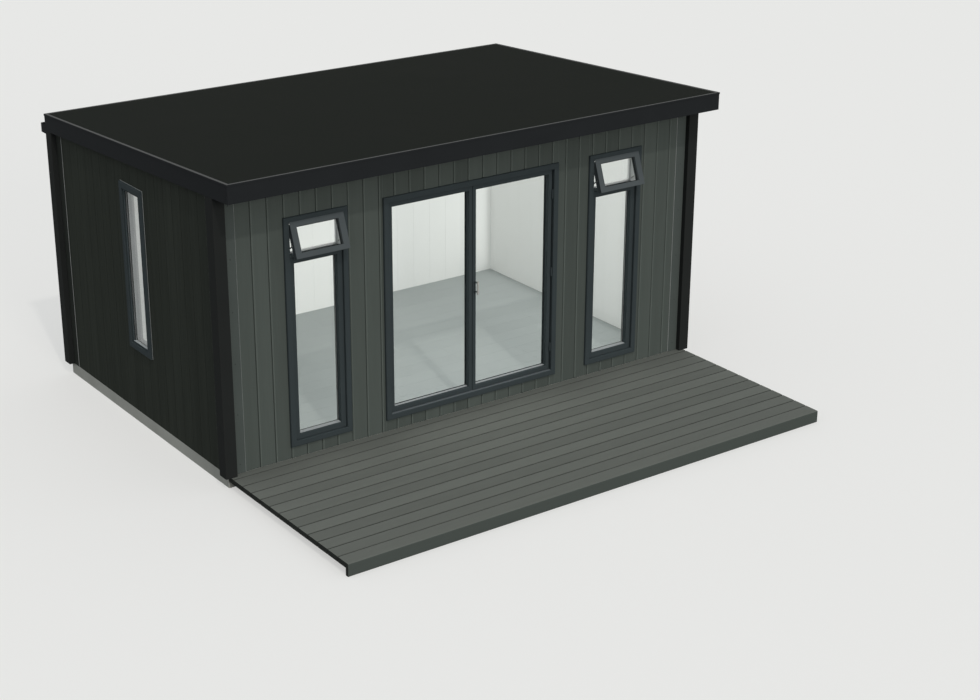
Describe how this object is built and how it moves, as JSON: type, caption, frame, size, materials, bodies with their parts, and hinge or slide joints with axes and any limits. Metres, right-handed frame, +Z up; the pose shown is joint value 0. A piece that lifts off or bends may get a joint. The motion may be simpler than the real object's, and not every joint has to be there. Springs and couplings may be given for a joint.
{
  "type": "garden office pod",
  "caption": "Single-room garden office with a low rear-sloping roof, outward-opening glazed double doors, tall narrow windows and a low boarded deck in front.",
  "frame": {"origin": "centre of the building's footprint, at ground level", "axes": "front looks along -Y, +X to the right seen from the front, +Z up; the roof falls towards +Y"},
  "size_m": [5.006, 5.02, 2.6762],
  "materials": {
    "concrete": "fine grey concrete",
    "grey_floor": "matt grey floor boarding",
    "black_post": "satin powder coat",
    "white_lining": "matt white boarding",
    "grey_board": "matt grey composite board",
    "black_board": "matt near-black composite board",
    "grey_flashing": "satin powder coat",
    "roof_core": "insulated timber deck, hidden",
    "roof_rubber": "matt rubber sheet",
    "black_metal": "satin powder coat",
    "edge_trim": "satin powder coat",
    "grey_frame": "satin powder coat",
    "clear_glass": "clear",
    "satin_steel": "satin",
    "hinge_metal": "satin powder coat",
    "deck_composite": "brushed grey composite board",
    "deck_timber": "pressure-treated softwood"
  },
  "bodies": {
    "building": {"base_slab": "concrete", "ceiling_panel": "white_lining", "corner_flashings": "grey_flashing", "corner_posts": "black_post", "deck_boards": "deck_composite", "deck_joists": "deck_timber", "deck_nosing": "deck_composite", "door_frame": "grey_frame", "downpipe": "black_metal", "floor_panel": "grey_floor", "frame_hinges": "hinge_metal", "front_cladding": "grey_board", "front_fascia": "black_metal", "front_soffit": "black_metal", "front_wall_left": "white_lining", "front_wall_over_door": "white_lining", "front_wall_right": "white_lining", "front_wall_under_door": "white_lining", "front_window_frames": "grey_frame", "front_window_glass": "clear_glass", "left_cladding": "black_board", "left_fascia": "black_metal", "left_wall": "white_lining", "rear_cladding": "black_board", "rear_fascia": "black_metal", "rear_gutter": "black_metal", "rear_wall": "white_lining", "right_cladding": "black_board", "right_fascia": "black_metal", "right_wall": "white_lining", "roof_deck": "roof_core", "roof_edge_trim": "edge_trim", "roof_membrane": "roof_rubber", "sash_glass": "clear_glass", "side_window_frames": "grey_frame", "side_window_glass": "clear_glass", "wall_linings": "white_lining", "window_sashes": "grey_frame", "window_stays": "satin_steel"},
    "left_leaf": {"left_door_leaf": "grey_frame", "left_door_glass": "clear_glass", "left_door_hinges": "hinge_metal"},
    "right_leaf": {"right_door_leaf": "grey_frame", "right_door_glass": "clear_glass", "right_door_hinges": "hinge_metal", "door_handles": "satin_steel"}
  },
  "joints": [
    {"name": "left_door_hinge", "type": "hinge", "parent": "building", "child": "left_leaf", "pos_m": [-0.854, -1.528, 0.272], "axis": [0, 0, -1], "range_deg": [0, 90]},
    {"name": "right_door_hinge", "type": "hinge", "parent": "building", "child": "right_leaf", "pos_m": [0.854, -1.528, 0.272], "axis": [0, 0, 1], "range_deg": [0, 90]}
  ]
}
